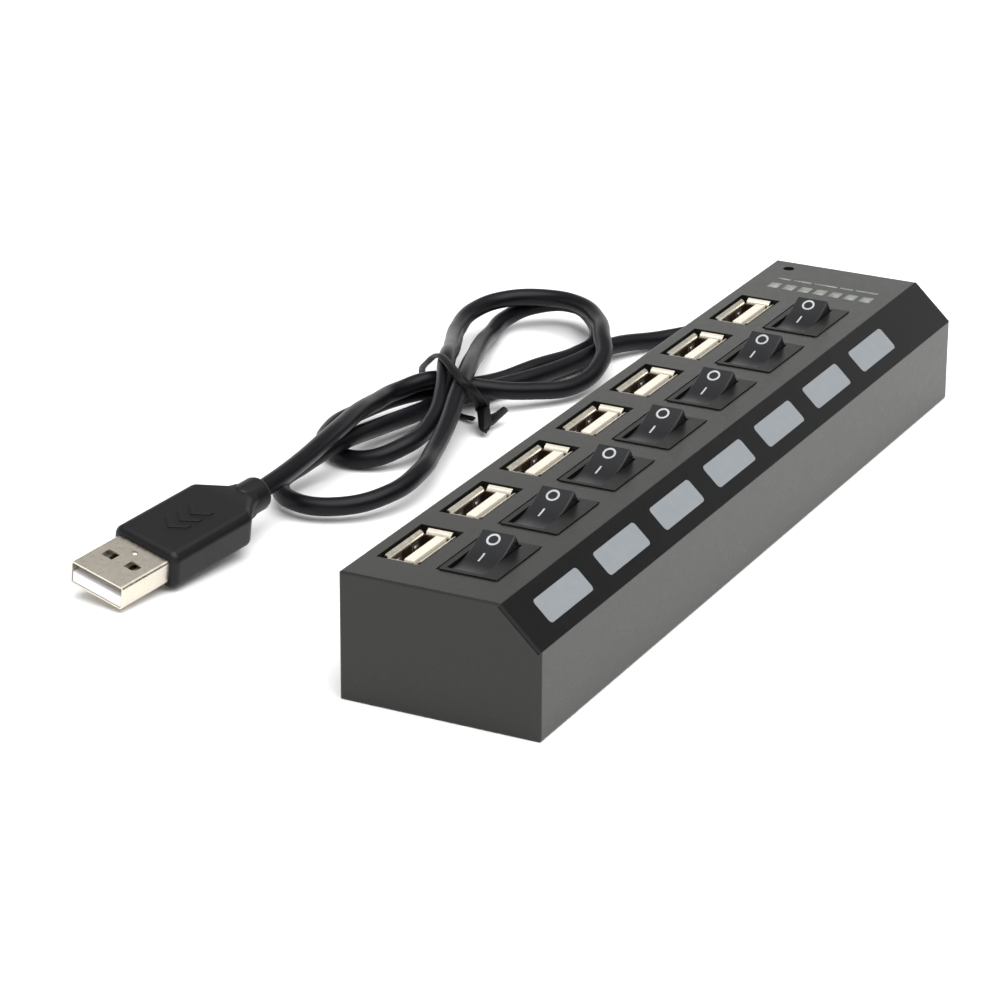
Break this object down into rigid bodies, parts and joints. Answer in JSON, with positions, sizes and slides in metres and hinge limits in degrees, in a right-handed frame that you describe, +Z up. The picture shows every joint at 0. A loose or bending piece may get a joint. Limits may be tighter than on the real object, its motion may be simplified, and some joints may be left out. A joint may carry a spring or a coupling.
{
  "type": "usb hub",
  "caption": "Bar-shaped powered USB hub with upright sockets, a rocker switch and light window for each, and a looped captive cable with a plug.",
  "frame": {"origin": "middle of the casing's underside", "axes": "+X along the hub towards its cable end, +Y from the lit sloping edge to the row of sockets, +Z up, out of the sockets"},
  "size_m": [0.2057, 0.0991, 0.0253],
  "materials": {
    "casing_plastic": "fine-textured matte",
    "cover_plastic": "matte",
    "screw_steel": "zinc plated",
    "strip_black": "satin black",
    "window_clear": "frosted translucent",
    "board_green": "solder mask",
    "nickel_shell": "bright nickel",
    "ivory_insulator": "satin ivory",
    "white_insulator": "satin white",
    "gold_contact": "gold flash",
    "switch_black": "satin",
    "rocker_black": "satin",
    "tinned_terminal": "tinned",
    "lamp_clear": "clear",
    "lamp_red": "clear tinted",
    "chip_black": "moulded",
    "can_metal": "plain",
    "cable_black": "soft satin",
    "lead_red": "insulated wire",
    "plug_grip_black": "fine-textured matte",
    "tie_black": "plastic-coated wire"
  },
  "bodies": {
    "hub": {"top_shell": "casing_plastic", "bottom_cover": "cover_plastic", "cover_screws": "screw_steel", "light_strip": "strip_black", "light_window_1": "window_clear", "light_window_2": "window_clear", "light_window_3": "window_clear", "light_window_4": "window_clear", "light_window_5": "window_clear", "light_window_6": "window_clear", "light_window_7": "window_clear", "circuit_board": "board_green", "port_shell_1": "nickel_shell", "port_shell_2": "nickel_shell", "port_shell_3": "nickel_shell", "port_shell_4": "nickel_shell", "port_shell_5": "nickel_shell", "port_shell_6": "nickel_shell", "port_shell_7": "nickel_shell", "port_insulator_1": "ivory_insulator", "port_insulator_2": "ivory_insulator", "port_insulator_3": "ivory_insulator", "port_insulator_4": "ivory_insulator", "port_insulator_5": "ivory_insulator", "port_insulator_6": "ivory_insulator", "port_insulator_7": "ivory_insulator", "port_contacts": "gold_contact", "switch_frame_1": "switch_black", "switch_frame_2": "switch_black", "switch_frame_3": "switch_black", "switch_frame_4": "switch_black", "switch_frame_5": "switch_black", "switch_frame_6": "switch_black", "switch_frame_7": "switch_black", "switch_terminals": "tinned_terminal", "status_leds": "lamp_clear", "power_led": "lamp_red", "controller_chip": "chip_black", "crystal": "can_metal", "board_parts": "can_metal", "strain_relief": "cable_black", "lead_wires": "lead_red", "cable": "cable_black", "plug_overmold": "plug_grip_black", "plug_shell": "nickel_shell", "plug_insulator": "white_insulator", "plug_contacts": "gold_contact", "twist_tie": "tie_black"},
    "rocker_1_body": {"rocker_1": "rocker_black"},
    "rocker_2_body": {"rocker_2": "rocker_black"},
    "rocker_3_body": {"rocker_3": "rocker_black"},
    "rocker_4_body": {"rocker_4": "rocker_black"},
    "rocker_5_body": {"rocker_5": "rocker_black"},
    "rocker_6_body": {"rocker_6": "rocker_black"},
    "rocker_7_body": {"rocker_7": "rocker_black"}
  },
  "joints": [
    {"name": "rocker_1_hinge", "type": "hinge", "parent": "hub", "child": "rocker_1_body", "pos_m": [-0.073, 0, 0.0208], "axis": [0, 1, 0], "range_deg": [0, 26]},
    {"name": "rocker_2_hinge", "type": "hinge", "parent": "hub", "child": "rocker_2_body", "pos_m": [-0.0511, 0, 0.0208], "axis": [0, 1, 0], "range_deg": [0, 26]},
    {"name": "rocker_3_hinge", "type": "hinge", "parent": "hub", "child": "rocker_3_body", "pos_m": [-0.0292, 0, 0.0208], "axis": [0, 1, 0], "range_deg": [0, 26]},
    {"name": "rocker_4_hinge", "type": "hinge", "parent": "hub", "child": "rocker_4_body", "pos_m": [-0.0073, 0, 0.0208], "axis": [0, 1, 0], "range_deg": [0, 26]},
    {"name": "rocker_5_hinge", "type": "hinge", "parent": "hub", "child": "rocker_5_body", "pos_m": [0.0146, 0, 0.0208], "axis": [0, 1, 0], "range_deg": [0, 26]},
    {"name": "rocker_6_hinge", "type": "hinge", "parent": "hub", "child": "rocker_6_body", "pos_m": [0.0365, 0, 0.0208], "axis": [0, 1, 0], "range_deg": [0, 26]},
    {"name": "rocker_7_hinge", "type": "hinge", "parent": "hub", "child": "rocker_7_body", "pos_m": [0.0584, 0, 0.0208], "axis": [0, 1, 0], "range_deg": [0, 26]}
  ]
}
